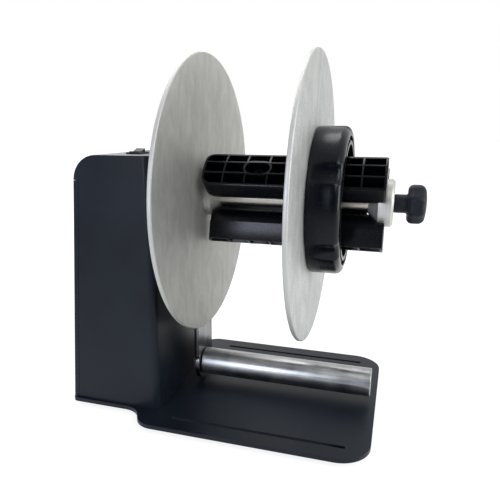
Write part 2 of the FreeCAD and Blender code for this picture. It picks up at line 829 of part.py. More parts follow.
def jaw_cells():
    """The open cells between the ribs, as cutting tools."""
    tools = []
    top = jaw_radius + 2
    inner_half = jaw_half_width - jaw_wall
    for x0, x1 in spans(jaw_start, jaw_end, cell_count_long, jaw_wall):
        for y0, y1 in spans(-jaw_half_width, jaw_half_width, cell_count_wide, jaw_wall):
            cell = box(x0, x1, y0, y1, cell_floor, top)
            corner = edges_along_z(cell, lambda c: c.x < jaw_start + 2 * jaw_wall
                                   and abs(c.y) > inner_half - 0.1 and abs(c.x - x0) < 0.1)
            tools.append(cell.makeFillet(jaw_inner_corner - jaw_wall, corner) if corner else cell)
    return tools


def near_pocket(cell):
    middle = cell.BoundBox.Center.x
    return any(abs(middle - pocket_x(c)) < cell_pitch + pocket_length / 2 for c in pocket_cells)


def jaw_keel():
    """The rib under a jaw, hollowed over the spindle. Its bevelled ends ride on the cones, and it
    steps back clear of the end ring."""
    gap = sliding / sin(radians(cone_angle))
    low = spindle_radius / 2
    high = hub_radius - jaw_out + 0.1
    root = jaw_inner + 0.5
    left = jaw_start + keel_step / 2
    left_run = lambda r: hub_length + gap + (hub_radius - r) / cone_slope
    right_run = lambda r: end_cone_rim - gap - (hub_radius - r) / cone_slope
    ring_run = lambda r: end_cone_rim - gap - (end_ring_radius - r)
    step_x = right_run(high)
    step_r = end_ring_radius - (end_cone_rim - gap - step_x)
    bevel_top = hub_radius - (left - hub_length - gap) * cone_slope
    profile = [(left_run(low), low), (left, bevel_top), (left, root), (ring_run(root), root),
               (step_x, step_r), (step_x, high), (right_run(low), low)]
    keel = outline([V(x, -keel_width / 2, r) for x, r in profile]).extrude(V(0, keel_width, 0))
    return keel.cut(rod(spindle_radius + sliding + 0.1, 0, end_ring_end, 0, jaw_in))


def jaw():
    """One jaw with its middle line pointing up: ribs, screw pockets and a keel."""
    top = jaw_radius + 2
    guards = [obround(pocket_length, pocket_width, pocket_x(c), cell_floor - 1, top + 1) for c in pocket_cells]
    body = jaw_blank()
    for cell in jaw_cells():
        body = body.cut(cell.cut(guards) if near_pocket(cell) else cell)
    body = body.fuse(jaw_keel()).removeSplitter()
    slot_width_y = 2 * guide_shank_radius + 1.0
    slot_length = slot_width_y + 2 * jaw_out / cone_slope + 0.4
    for c in pocket_cells:
        x = pocket_x(c)
        well = obround(pocket_length - 2 * pocket_wall, pocket_width - 2 * pocket_wall, x, cell_floor, top)
        body = body.cut([well, obround(slot_length, slot_width_y, x, 0, top)])
    return body


def guide_screw_shapes(clearance=0.0):
    """Shoulder screws from the spindle through the jaws' slots. Their heads stop the jaws."""
    head = cell_floor + jaw_out + sliding
    socket = post(1.4, head + guide_head_height - 1.6, head + guide_head_height + 1)
    cap = post(guide_head_radius, head, head + guide_head_height).cut(socket)
    shape = cap.fuse(post(guide_shank_radius + clearance, rod_radius + 0.6, head))
    return [s for c in pocket_cells for s in at_jaws(shape.translated(V(pocket_x(c), 0, 0)))]


def jaw_guide_screws():
    return group(guide_screw_shapes())


def outer_flange():
    return flange_disc(outer_flange_x, sleeve_radius + seated)


def sleeve_key():
    """A V shaped key that fills the gap between two jaws, so the sleeve rides on their sides."""
    spread = radians(180.0 / jaw_count)
    near = (jaw_half_width + sliding) / sin(spread)
    far = near + key_thickness / sin(spread)
    reach = sleeve_bore + 1
    along = lambda apex, side: V(0, side * reach * sin(spread), apex + reach * cos(spread))
    points = [V(0, 0, near), along(near, 1), along(far, 1), V(0, 0, far), along(far, -1), along(near, -1)]
    key = outline(points).extrude(V(key_length, 0, 0)).translated(V(outer_flange_x, 0, 0))
    return key.common(ring(sleeve_bore + 0.5, key_bore, outer_flange_x - 1, sleeve_end))


def flange_sleeve():
    """The sleeve that carries the outer flange and the hand wheel along the jaws."""
    heel = outer_flange_x - 1.2
    profile = [(heel, sleeve_bore), (heel, sleeve_radius + sleeve_shoulder),
               (outer_flange_x, sleeve_radius + sleeve_shoulder), (outer_flange_x, sleeve_radius),
               (wheel_end + 0.2, sleeve_radius), (wheel_end + 0.2, sleeve_radius - snap_depth),
               (wheel_end + 0.2 + snap_width, sleeve_radius - snap_depth),
               (wheel_end + 0.2 + snap_width, sleeve_radius), (sleeve_end, sleeve_radius),
               (sleeve_end, sleeve_bore)]
    keys = around(sleeve_key(), jaw_count, jaw_angle - 90.0 + 180.0 / jaw_count)
    return turned(profile).fuse(keys).removeSplitter()


def wheel_retaining_ring():
    x = wheel_end + 0.2
    body = ring(sleeve_radius + 1.8, sleeve_radius - snap_depth + seated, x + seated, x + snap_width - seated)
    return body.cut(box(x - 1, x + 2, -4, 4, 0, sleeve_radius + 4))


def hand_wheel():
    """The wheel that turns on the sleeve: a rounded rim with finger scoops, recessed for its ring."""
    start = wheel_x + sliding
    blank = rod(wheel_radius, start, sleeve_end)
    blank = blank.makeFillet(wheel_rim, circles(blank, lambda x: x > sleeve_end - 0.1))
    blank = blank.makeFillet(wheel_heel, circles(blank, lambda x: x < start + 0.1))
    scoop = Part.makeSphere(wheel_scoop, V(sleeve_end + wheel_scoop_ahead, 0, wheel_radius + wheel_scoop_above))
    blank = blank.cut(around(scoop, wheel_scoop_count, wheel_scoop_angle - 90.0))
    blank = blank.cut(rod(wheel_recess, wheel_end, sleeve_end + 1))
    return blank.cut(rod(sleeve_radius + running, start - 1, wheel_end + 1))


def standoff_places():
    xs = (board_x + standoff_inset, board_x + board_length - standoff_inset)
    ys = (board_y + standoff_inset, board_y + board_depth - standoff_inset)
    return [(x, y) for x in xs for y in ys]


def control_board():
    """The board with its terminal block, chip, relay and capacitor."""
    low = base_top + standoff_height
    top = low + board_thickness
    x, y = board_x, board_y
    board = box(x, x + board_length, y, y + board_depth, low, top)
    blocks = [box(x + x0, x + x1, y + y0, y + y1, top, top + rise) for x0, x1, y0, y1, rise in board_blocks]
    can_x, can_y, can_radius, can_height = capacitor
    board = board.fuse(blocks + [post(can_radius, top, top + can_height, x + can_x, y + can_y)])
    hole = standoff_pin_radius + seated
    return board.cut([post(hole, low - 1, top + 1, px, py) for px, py in standoff_places()])


def board_standoffs():
    top = base_top + standoff_height
    pin_top = top + board_thickness + 1
    return group([post(standoff_radius, base_top, top, x, y).fuse(post(standoff_pin_radius, top, pin_top, x, y))
                  for x, y in standoff_places()])


def on_rear(shape, x, z):
    """A shape made along +Z, set on the rear wall and pointing backwards."""
    return place(shape, V(x, housing_half_depth, z), Y_AXIS)


def dc_inlet():
    """A panel jack: a collar outside, a threaded body through the wall, an open socket with a pin."""
    body = post(inlet_radius, -socket_depth - 5, 0).fuse(post(inlet_radius + 1.5, 0, 1.6))
    body = body.cut(post(socket_radius, -socket_depth, 5))
    return on_rear(body.fuse(post(1.0, -socket_depth - 0.5, -0.5)), inlet_x, inlet_z)


def dc_inlet_nut():
    nut = hexagon(11.0, 2.4, inlet_radius + seated).translated(V(0, 0, -sheet - 2.4))
    return on_rear(nut, inlet_x, inlet_z)


def speed_control():
    """The potentiometer behind the rear wall, with its bush through it."""
    body = post(8.0, -10.0, -sheet).fuse(post(dial_bush_radius, -sheet, 4.0))
    return on_rear(body.cut(post(dial_shaft_radius + running, -4.0, 6.0)), dial_x, dial_z)


def speed_nut():
    return on_rear(hexagon(10.0, 2.0, dial_bush_radius + seated), dial_x, dial_z)


def speed_shaft():
    return on_rear(post(dial_shaft_radius, -3.9, dial_height + 3.0), dial_x, dial_z)


def speed_knob():
    """A fluted dial with a pointer groove, hollow over the nut."""
    low = 4.0 + sliding
    high = low + dial_height
    knob = Part.makeCone(dial_radius, dial_radius - 0.8, dial_height, V(0, 0, low), Z_AXIS)
    flute = post(0.7, low - 1, high - 1.5, 0, dial_radius - 0.1)
    flutes = []
    for i in range(dial_flute_count):
        copy = flute.copy()
        copy.rotate(V(0, 0, 0), Z_AXIS, 360.0 * (i + 0.5) / dial_flute_count)
        flutes.append(copy)
    pointer = box(-0.4, 0.4, 2.0, dial_radius, high - 0.6, high + 1)
    knob = knob.cut(flutes + [pointer, post(dial_shaft_radius + seated, low - 1, dial_height + 3.1)])
    return on_rear(knob, dial_x, dial_z)


def rocker_switch():
    """The switch in the top wall: a framed well with three terminals below."""
    half_x, half_y = rocker_width / 2 - 0.1, rocker_depth / 2 - 0.1
    rim = box(rocker_x - half_x - 0.7, rocker_x + half_x + 0.7, rocker_y - half_y - 0.7,
              rocker_y + half_y + 0.7, housing_top, housing_top + rocker_lift)
    rim = rim.makeChamfer(0.5, [e for e in rim.Edges if e.CenterOfMass.z > housing_top + rocker_lift - 0.1])
    bottom = housing_top - 13.0
    body = box(rocker_x - half_x, rocker_x + half_x, rocker_y - half_y, rocker_y + half_y, bottom, housing_top)
    well_x, well_y = half_x - rocker_frame, half_y - rocker_frame
    well = box(rocker_x - well_x, rocker_x + well_x, rocker_y - well_y, rocker_y + well_y,
               housing_top - 6.0, housing_top + 3)
    legs = [box(rocker_x - 2, rocker_x + 2, rocker_y + y - 0.4, rocker_y + y + 0.4, bottom - 6, bottom)
            for y in (-4.5, 0, 4.5)]
    reach = well_x + rocker_pin_length + 0.1
    pivot = rod(rocker_pin_radius + running, rocker_x - reach, rocker_x + reach, rocker_y, housing_top + rocker_pivot)
    return rim.fuse(body).cut([well, pivot]).fuse(legs)


def switch_rocker():
    """The rocking key: two shallow slopes that meet over the pivot. It rests with its front end down."""
    x = rocker_x - rocker_width / 2 + 0.1 + rocker_frame + sliding
    length = rocker_width - 0.2 - 2 * rocker_frame - 2 * sliding
    reach = rocker_depth / 2 - 0.1 - rocker_frame - sliding - 0.1
    z = housing_top + rocker_pivot
    profile = [(-reach, 2.3), (0, 1.2), (reach, 2.3), (reach, -0.6), (0.45 * reach, -4.2),
               (-0.45 * reach, -4.2), (-reach, -0.6)]
    key = outline([V(x, rocker_y + py, z + pz) for py, pz in profile]).extrude(V(length, 0, 0))
    key.rotate(V(x, rocker_y, z), X_AXIS, rocker_tilt)
    reach = sliding + rocker_pin_length
    return key.fuse(rod(rocker_pin_radius, x - reach, x + length + reach, rocker_y, z))


makers = [
    base_plate, rubber_feet, foot_screws, housing_shell, side_cover, side_cover_screws, housing_screws,
    bearing_cartridge, cartridge_screws, gearbox, motor, motor_screws, arm_stops, control_board,
    board_standoffs, dc_inlet, dc_inlet_nut, speed_control, speed_nut, speed_shaft, speed_knob,
    rocker_switch, switch_rocker, motor_shaft, pinion, spindle_shaft, spindle_gear, inner_flange,
    inner_hub, flange_screws, jaw_guide_screws, end_cone, clamp_screw, clamping_knob, outer_flange,
    flange_sleeve, hand_wheel, wheel_retaining_ring, dancer_arm, arm_bush, arm_retaining_ring,
    roller_axle, axle_clip, axle_nut, roller_tube, roller_bushes,
]
shapes = {make.__name__: make() for make in makers}
shapes["inner_bearing"] = ball_bearing(inner_bearing_x)
shapes["outer_bearing"] = ball_bearing(outer_bearing_x)
for number, shape in enumerate(at_jaws(jaw()), 1):
    shapes["jaw_%d" % number] = shape

# The footprint runs from the side cover's screws or the base to the knob or the base
left_end = min(shapes[name].optimalBoundingBox().XMin for name in ("side_cover_screws", "base_plate"))
right_end = max(shapes[name].optimalBoundingBox().XMax for name in ("clamping_knob", "base_plate"))
to_origin = V(-(left_end + right_end) / 2, 0, -floor_z)

os.makedirs("parts", exist_ok=True)
for name, shape in shapes.items():
    shape.translated(to_origin).exportStep("parts/" + name + ".step")
print("moved by", to_origin)
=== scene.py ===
# %% [markdown]
# # A desktop label rewinder
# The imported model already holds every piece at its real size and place. These cells add the camera, the
# studio and the finishes, and they rebuild the pieces that the eye rests on with softer edges and finer
# detail than a workshop model needs.

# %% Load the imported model
import json
from math import cos, pi, radians, sin

import bmesh
import bpy
from mathutils import Matrix, Vector


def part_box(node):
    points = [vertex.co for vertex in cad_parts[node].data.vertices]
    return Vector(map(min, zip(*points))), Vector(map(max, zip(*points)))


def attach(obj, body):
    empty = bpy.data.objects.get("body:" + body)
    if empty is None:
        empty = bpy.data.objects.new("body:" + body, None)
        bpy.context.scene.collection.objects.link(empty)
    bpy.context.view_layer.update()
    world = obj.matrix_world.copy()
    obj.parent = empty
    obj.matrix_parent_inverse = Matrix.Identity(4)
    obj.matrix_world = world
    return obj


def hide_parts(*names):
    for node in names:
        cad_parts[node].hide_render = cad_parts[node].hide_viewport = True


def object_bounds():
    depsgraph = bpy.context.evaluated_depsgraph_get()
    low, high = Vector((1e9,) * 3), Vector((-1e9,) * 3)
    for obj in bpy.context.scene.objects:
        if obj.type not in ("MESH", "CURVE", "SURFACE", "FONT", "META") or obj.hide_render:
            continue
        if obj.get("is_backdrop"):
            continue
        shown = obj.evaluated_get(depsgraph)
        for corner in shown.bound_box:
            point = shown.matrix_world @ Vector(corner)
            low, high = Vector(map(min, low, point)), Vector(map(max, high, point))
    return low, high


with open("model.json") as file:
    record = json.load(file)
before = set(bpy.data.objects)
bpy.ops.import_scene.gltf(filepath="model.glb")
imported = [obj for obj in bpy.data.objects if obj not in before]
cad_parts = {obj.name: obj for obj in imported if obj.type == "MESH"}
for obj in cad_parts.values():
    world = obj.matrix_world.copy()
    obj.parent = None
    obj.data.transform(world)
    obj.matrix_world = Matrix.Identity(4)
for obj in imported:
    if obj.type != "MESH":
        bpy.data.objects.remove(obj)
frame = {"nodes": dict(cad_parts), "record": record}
cad_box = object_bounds()
MM = 0.001

# %% [markdown]
# ## Camera
# The lens is set before anything is judged, because proportions only compare at the same viewpoint. The
# camera stands in front of the free end, a little above the spindle, and looks down by fifteen degrees.
# The focal length is given in pixels of a 500 pixel picture. The picture's centre lies a little off the
# lens axis, which Blender calls shift.

# %% Camera
PICTURE = 500.0
FOCAL_PIXELS = 529.465
LENS_CENTRE = (234.845, 269.277)
SENSOR = 36.0
CAMERA_PLACE = Vector((103.813, -375.146, 206.88)) * MM
CAMERA_TURN, CAMERA_DOWN, CAMERA_ROLL = 0.299, 0.263, 0.004

lens = bpy.data.cameras.new("camera")
lens.sensor_width = SENSOR
lens.lens = SENSOR * FOCAL_PIXELS / PICTURE
lens.shift_x = (PICTURE / 2 - LENS_CENTRE[0]) / PICTURE
lens.shift_y = (LENS_CENTRE[1] - PICTURE / 2) / PICTURE
lens.clip_start = 10 * MM
camera = bpy.data.objects.new("camera", lens)
camera.matrix_world = (Matrix.Translation(CAMERA_PLACE) @ Matrix.Rotation(CAMERA_TURN, 4, "Z")
                       @ Matrix.Rotation(pi / 2 - CAMERA_DOWN, 4, "X") @ Matrix.Rotation(CAMERA_ROLL, 4, "Z"))
scene = bpy.context.scene
scene.collection.objects.link(camera)
scene.camera = camera
scene.view_settings.view_transform = "Standard"
print("lens", round(lens.lens, 2), "mm")

# %% [markdown]
# ## Nodes and colours
# Every finish below is a small network of shader nodes. One function adds a node, sets its properties and
# either links or sets its sockets. Screens give colours as sRGB hex values, while Blender mixes light in
# linear values, so one more function converts them. Patterns are sized in millimetres: a noise texture
# draws about one grain per unit, so its scale is one over the grain's size.

# %% Helpers for materials
def linear(hex_code):
    """An sRGB hex colour as Blender's linear RGBA."""
    channels = [int(hex_code[i:i + 2], 16) / 255 for i in (1, 3, 5)]
    return [c / 12.92 if c <= 0.04045 else ((c + 0.055) / 1.055) ** 2.4 for c in channels] + [1.0]


def add(tree, kind, sockets=None, stops=None, **settings):
    """A new node. A socket takes a value or another node's output, and a ramp's stops are (place, hex)."""
    new = tree.nodes.new(kind)
    for name, value in settings.items():
        setattr(new, name, value)
    for name, value in (sockets or {}).items():
        if isinstance(value, bpy.types.NodeSocket):
            tree.links.new(value, new.inputs[name])
        else:
            new.inputs[name].default_value = value
    if stops:
        for _ in stops[2:]:
            new.color_ramp.elements.new(0.5)
        for element, (place, colour) in zip(new.color_ramp.elements, stops):
            element.position, element.color = place, linear(colour)
    return new


def grains(*sizes):
    """Noise scale for grains of a size in millimetres, or a mapping scale for three sizes."""
    scales = [1 / (size * MM) for size in sizes]
    return scales if len(scales) > 1 else scales[0]


def finish_named(name, metallic=0.0, reflection=0.5):
    """A material with a Principled shader, its node tree and the piece's own places in metres."""
    material = bpy.data.materials.new(name)
    material.use_nodes = True
    tree = material.node_tree
    shader = tree.nodes["Principled BSDF"]
    shader.inputs["Metallic"].default_value = metallic
    shader.inputs["Specular IOR Level"].default_value = reflection
    place = add(tree, "ShaderNodeTexCoord").outputs["Object"]
    return material, tree, shader, place


# Noise seldom leaves this range, so it is stretched from here.
MIDDLE = {"From Min": 0.3, "From Max": 0.7}
print("a noise of 0.9 mm grains has scale", round(grains(0.9), 1))

# %% [markdown]
# ## Studio
# A machine like this is shot on a white sweep under large soft lamps, with the dark room behind the camera.
# The sweep is what a camera, a gloss or a glass sees beyond the object, so it is plain white there. Towards
# the room it falls off to dark grey, which is what keeps gloss black looking black. A Light Path node keeps
# that apart from the light that falls on the object, and the world and the floor both need it.

# %% World
def kinds_of_ray(tree):
    """One for a ray of the camera or through glass, one for those and mirrored rays, and the path itself."""
    path = add(tree, "ShaderNodeLightPath").outputs
    direct = add(tree, "ShaderNodeMath", {0: path["Is Camera Ray"], 1: path["Is Transmission Ray"]},
                 operation="MAXIMUM").outputs[0]
    seen = add(tree, "ShaderNodeMath", {0: direct, 1: path["Is Glossy Ray"]}, operation="MAXIMUM").outputs[0]
    return direct, seen, path


ROOM_DARK, ROOM_BRIGHT = 0.03, 0.85
world = bpy.data.worlds.new("studio")
world.use_nodes = True
scene.world = world
sky = world.node_tree
soft_light = sky.nodes["Background"]
soft_light.inputs["Color"].default_value = linear("#eef1f5")
soft_light.inputs["Strength"].default_value = 0.6
direct, seen, _ = kinds_of_ray(sky)
towards = add(sky, "ShaderNodeTexCoord").outputs["Generated"]
rearwards = add(sky, "ShaderNodeSeparateXYZ", {"Vector": towards}).outputs["Y"]
room = add(sky, "ShaderNodeMapRange", {"Value": rearwards, "From Min": -0.9, "From Max": 0.1,
                                       "To Min": ROOM_DARK, "To Max": ROOM_BRIGHT},
           interpolation_type="SMOOTHSTEP")
sweep = add(sky, "ShaderNodeMath", {0: direct, 1: room.outputs["Result"]}, operation="MAXIMUM").outputs[0]
white = add(sky, "ShaderNodeBackground", {"Color": linear("#ffffff"), "Strength": sweep})
either = add(sky, "ShaderNodeMixShader", {0: seen, 1: soft_light.outputs[0], 2: white.outputs[0]})
sky.links.new(either.outputs[0], sky.nodes["World Output"].inputs["Surface"])
print("world nodes", len(sky.nodes))

# %% [markdown]
# The floor is matt white card. Where the camera or a gloss sees it, a glow carries most of its white and
# the rest is lit, so the object's soft shadow still shows near it. Further out the glow takes over, and the
# floor runs into the sweep with no horizon line.

# %% Floor
SMOOTH_BELOW = radians(38)
FLOOR_HALF = 8.0


def mesh_piece(name, bm, material):
    """A scene object from a bmesh, smooth except at its sharp edges."""
    mesh = bpy.data.meshes.new(name)
    bm.to_mesh(mesh)
    bm.free()
    mesh.shade_smooth()
    mesh.set_sharp_from_angle(angle=SMOOTH_BELOW)
    mesh.materials.append(material)
    piece = bpy.data.objects.new(name, mesh)
    scene.collection.objects.link(piece)
    return piece


card, tree, shader, place = finish_named("matt_white_card", reflection=0.0)
shader.inputs["Roughness"].default_value = 0.95
direct, seen, path = kinds_of_ray(tree)
rearwards = add(tree, "ShaderNodeSeparateXYZ", {"Vector": place}).outputs["Y"]
room = add(tree, "ShaderNodeMapRange", {"Value": rearwards, "From Min": -0.8, "From Max": 0.1,
                                        "To Min": ROOM_DARK, "To Max": 1.0},
           interpolation_type="SMOOTHSTEP")
mirrored = add(tree, "ShaderNodeMath", {0: path["Is Glossy Ray"], 1: room.outputs["Result"]},
               operation="MULTIPLY").outputs[0]
sweep = add(tree, "ShaderNodeMath", {0: direct, 1: mirrored}, operation="MAXIMUM").outputs[0]
reach = add(tree, "ShaderNodeVectorMath", {0: place}, operation="LENGTH").outputs["Value"]
near_glow = add(tree, "ShaderNodeMapRange", {"Value": reach, "From Min": 0.25, "From Max": 0.7,
                                             "To Min": 0.84, "To Max": 1.0}).outputs["Result"]
glow = add(tree, "ShaderNodeMath", {0: near_glow, 1: sweep}, operation="MULTIPLY").outputs[0]
shade = add(tree, "ShaderNodeValToRGB", {"Fac": seen}, [(0.0, "#f2f2f1"), (1.0, "#8c8c8c")])
shader.inputs["Emission Color"].default_value = linear("#ffffff")
tree.links.new(glow, shader.inputs["Emission Strength"])
tree.links.new(shade.outputs["Color"], shader.inputs["Base Color"])
bm = bmesh.new()
bmesh.ops.create_grid(bm, x_segments=1, y_segments=1, size=FLOOR_HALF)
floor = mesh_piece("floor", bm, card)
floor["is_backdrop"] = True
print("floor", 2 * FLOOR_HALF, "m wide")

# %% [markdown]
# The lamps are large and far enough away to be soft. The key stands high on the right, a rim lamp on the
# right lights the rounded edges, one above the rear lights the tops, a fill on the left reaches between the
# discs, and a tall cool one at the front left draws the long highlights on the moulded jaws and the roller.

# %% Lamps
def soft_box(name, place, target, width, height, watts, tint="#ffffff"):
    """A rectangular lamp that looks at a target."""
    lamp = bpy.data.lights.new(name, "AREA")
    lamp.color = linear(tint)[:3]
    lamp.shape = "RECTANGLE"
    lamp.size, lamp.size_y, lamp.energy = width, height, watts
    holder = bpy.data.objects.new(name, lamp)
    holder.location = place
    holder.rotation_euler = (Vector(target) - Vector(place)).to_track_quat("-Z", "Y").to_euler()
    scene.collection.objects.link(holder)
    return holder


middle = (0.0, 0.0, 0.14)
soft_box("key_lamp", (0.8, -0.7, 1.0), middle, 0.8, 0.8, 7.5)
soft_box("rim_lamp", (1.2, 0.1, 0.3), middle, 0.4, 0.6, 4.5)
soft_box("fill_lamp", (-0.8, 0.7, 0.8), middle, 0.8, 0.8, 5.0)
soft_box("top_lamp", (-0.25, 0.35, 1.2), middle, 0.9, 0.35, 4.2)
soft_box("front_lamp", (-0.31, -1.07, 0.38), (0.0, 0.0, 0.15), 0.28, 0.48, 5.2, "#e6edff")
print("lamps", ", ".join(lamp.name for lamp in bpy.data.lights))

# %% [markdown]
# ## Black powder coat
# The folded sheets are dusted with dry polyester powder and baked. The powder flows into a skin about
# 0.08 mm thick with a faint orange peel, satin rather than glossy, so a softly lit face reads as dark
# blue-grey. The peel is drawn at about 0.9 mm, a little coarser than real, so that it shows. Handling
# leaves slightly duller patches some four centimetres wide.

# %% Powder coat
def powder_coat():
    material, tree, shader, place = finish_named("satin_black_powder_coat", reflection=0.235)
    peel = add(tree, "ShaderNodeTexNoise", {"Vector": place, "Scale": grains(0.9), "Detail": 2.0})
    peel = peel.outputs["Fac"]
    patch = add(tree, "ShaderNodeTexNoise", {"Vector": place, "Scale": grains(42), "Detail": 3.0})
    patch = patch.outputs["Fac"]
    tone = add(tree, "ShaderNodeValToRGB", {"Fac": patch}, [(0.35, "#0d131c"), (0.65, "#121923")])
    tree.links.new(tone.outputs["Color"], shader.inputs["Base Color"])
    both = add(tree, "ShaderNodeMath", {0: peel, 1: patch}, operation="ADD").outputs[0]
    rough = add(tree, "ShaderNodeMapRange", {"Value": both, "From Min": 0.7, "From Max": 1.3,
                                             "To Min": 0.34, "To Max": 0.46})
    tree.links.new(rough.outputs["Result"], shader.inputs["Roughness"])
    bump = add(tree, "ShaderNodeBump", {"Height": peel, "Distance": 0.012 * MM, "Strength": 1.0})
    tree.links.new(bump.outputs["Normal"], shader.inputs["Normal"])
    return material


coat = powder_coat()
print(coat.name, len(coat.node_tree.nodes), "nodes")

# %% [markdown]
# ## Aluminium discs
# Both discs are laser cut from rolled sheet. The inner one is brushed with a belt, which leaves scratches a
# few tenths of a millimetre apart and some ten millimetres long, upright as it stands here, and is then
# anodised clear, so it looks warm and soft. The outer one is blasted with fine beads before anodising: its
# grains are drawn at 0.9 mm, coarser than real, and sparkle where they face a lamp. Neither is a mirror,
# because the anodised skin scatters light, and a metallic value below one stands for that. The cut and
# chamfered rim gets a plain, slightly lighter tone, a painted highlight for the light its edge catches, which
# a mask by the distance from the spindle gives, and cloudy marks of wiping and storing lie on the faces.

# %% Discs
SPINDLE = Vector(next(joint for joint in frame["record"]["behaviour"]["joints"]
                      if joint["name"] == "spindle_spin")["pos_m"])
DISC_RADIUS = (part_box("inner_flange")[1][1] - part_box("inner_flange")[0][1]) / 2
RIM_FROM, RIM_TO = DISC_RADIUS - 0.9 * MM, DISC_RADIUS - 0.4 * MM
CLOUD_SIZE, CLOUD_LEAN = (30, 10, 20), radians(28)
# Painted highlight: the rim's plain, slightly lighter tone stands in for the light its cut edge catches.
RIM_HIGHLIGHT_TONE = "#bfbfbc"


def aluminium_disc(name, grain_size, streaks, dark, light, rough, depth, spark):
    """A clear anodised sheet. Its grains have a size (x, y, z) in millimetres, streaks and spark say how much
    grains and specks show in its tone, and depth is the grains' height in millimetres."""
    material, tree, shader, place = finish_named(name, metallic=0.65)
    where = add(tree, "ShaderNodeMapping", {"Vector": place, "Scale": grains(*grain_size)})
    grain = add(tree, "ShaderNodeTexNoise", {"Vector": where.outputs["Vector"], "Scale": 1.0, "Detail": 3.0,
                                             "Roughness": 0.6}).outputs["Fac"]
    speck = add(tree, "ShaderNodeTexNoise", {"Vector": place, "Scale": grains(0.8), "Detail": 1.0})
    wiped = add(tree, "ShaderNodeMapping", {"Vector": place, "Scale": grains(*CLOUD_SIZE),
                                            "Rotation": (CLOUD_LEAN, 0, 0)})
    cloud = add(tree, "ShaderNodeTexNoise", {"Vector": wiped.outputs["Vector"], "Scale": 1.0, "Detail": 4.0,
                                             "Roughness": 0.55, "Distortion": 0.8})
    bright = add(tree, "ShaderNodeMath", {0: speck.outputs["Fac"], 1: spark}, operation="MULTIPLY").outputs[0]
    tone = add(tree, "ShaderNodeMath", {0: grain, 1: streaks, 2: cloud.outputs["Fac"]},
               operation="MULTIPLY_ADD")
    tone = add(tree, "ShaderNodeMath", {0: tone.outputs[0], 1: bright}, operation="ADD")
    tone = add(tree, "ShaderNodeMapRange", {"Value": tone.outputs[0],
                                            "From Min": 0.3 + 0.5 * streaks + 0.4 * spark,
                                            "From Max": 0.7 + 0.5 * streaks + 0.6 * spark})
    face = add(tree, "ShaderNodeValToRGB", {"Fac": tone.outputs["Result"]}, [(0.0, dark), (1.0, light)])
    flat = add(tree, "ShaderNodeVectorMath", {0: place, 1: (0, 1, 1)}, operation="MULTIPLY")
    off = add(tree, "ShaderNodeVectorMath", {0: flat.outputs["Vector"], 1: (0, SPINDLE.y, SPINDLE.z)},
              operation="DISTANCE")
    # The rim band takes the painted highlight tone in place of the face's tone.
    rim = add(tree, "ShaderNodeMapRange", {"Value": off.outputs["Value"], "From Min": RIM_FROM,
                                           "From Max": RIM_TO})
    colour = add(tree, "ShaderNodeMix", {"Factor": rim.outputs["Result"], "A": face.outputs["Color"],
                                         "B": linear(RIM_HIGHLIGHT_TONE)}, data_type="RGBA")
    tree.links.new(colour.outputs["Result"], shader.inputs["Base Color"])
    dull = add(tree, "ShaderNodeMapRange", {"Value": grain, **MIDDLE, "To Min": rough - 0.07,
                                            "To Max": rough + 0.07})
    tree.links.new(dull.outputs["Result"], shader.inputs["Roughness"])
    height = add(tree, "ShaderNodeMath", {0: grain, 1: bright}, operation="ADD").outputs[0]
    bump = add(tree, "ShaderNodeBump", {"Height": height, "Distance": depth * MM, "Strength": 1.0})
    tree.links.new(bump.outputs["Normal"], shader.inputs["Normal"])
    return material


brushed = aluminium_disc("brushed_anodised_aluminium", (3.0, 0.4, 7.0), 0.22, "#b0afab", "#c6c5c0", 0.56,
                         0.006, 0.3)
blasted = aluminium_disc("blasted_anodised_aluminium", (0.9, 0.9, 1.6), 0.3, "#a0a2a1", "#c3c4c2", 0.52,
                         0.05, 1.0)
print("discs", round(2 * DISC_RADIUS / MM, 1), "mm")

# %% [markdown]
# ## Turned aluminium
# The hub, the end cone and the bearing cartridge come off a lathe, and the tool leaves fine rings about the
# spindle. They are drawn 0.4 mm apart so that they show.

# %% Turned aluminium
def turned_aluminium():
    material, tree, shader, place = finish_named("turned_anodised_aluminium", metallic=0.7)
    where = add(tree, "ShaderNodeMapping", {"Vector": place, "Scale": grains(0.4, 60, 60)})
    rings = add(tree, "ShaderNodeTexNoise", {"Vector": where.outputs["Vector"], "Scale": 1.0,
                                             "Detail": 2.0}).outputs["Fac"]
    tone = add(tree, "ShaderNodeValToRGB", {"Fac": rings}, [(0.3, "#b9b9b5"), (0.7, "#d2d2ce")])
    tree.links.new(tone.outputs["Color"], shader.inputs["Base Color"])
    rough = add(tree, "ShaderNodeMapRange", {"Value": rings, **MIDDLE, "To Min": 0.36, "To Max": 0.5})
    tree.links.new(rough.outputs["Result"], shader.inputs["Roughness"])
    bump = add(tree, "ShaderNodeBump", {"Height": rings, "Distance": 0.01 * MM, "Strength": 1.0})
    tree.links.new(bump.outputs["Normal"], shader.inputs["Normal"])
    return material


turned_metal = turned_aluminium()
print(turned_metal.name, len(turned_metal.node_tree.nodes), "nodes")

# %% [markdown]
# ## Steel
# The dancer roller is a ground and polished tube with long drawing marks, smudges and soft bright streaks.
# The spindle is a plainer drawn bar, the arm is bare cold rolled flat bar, and the fasteners are either
# zinc plated, which is pale and a little cloudy, or blackened. All of them are one network with its own
# colours and marks, and the marks' size (x, y, z) says which way they run.

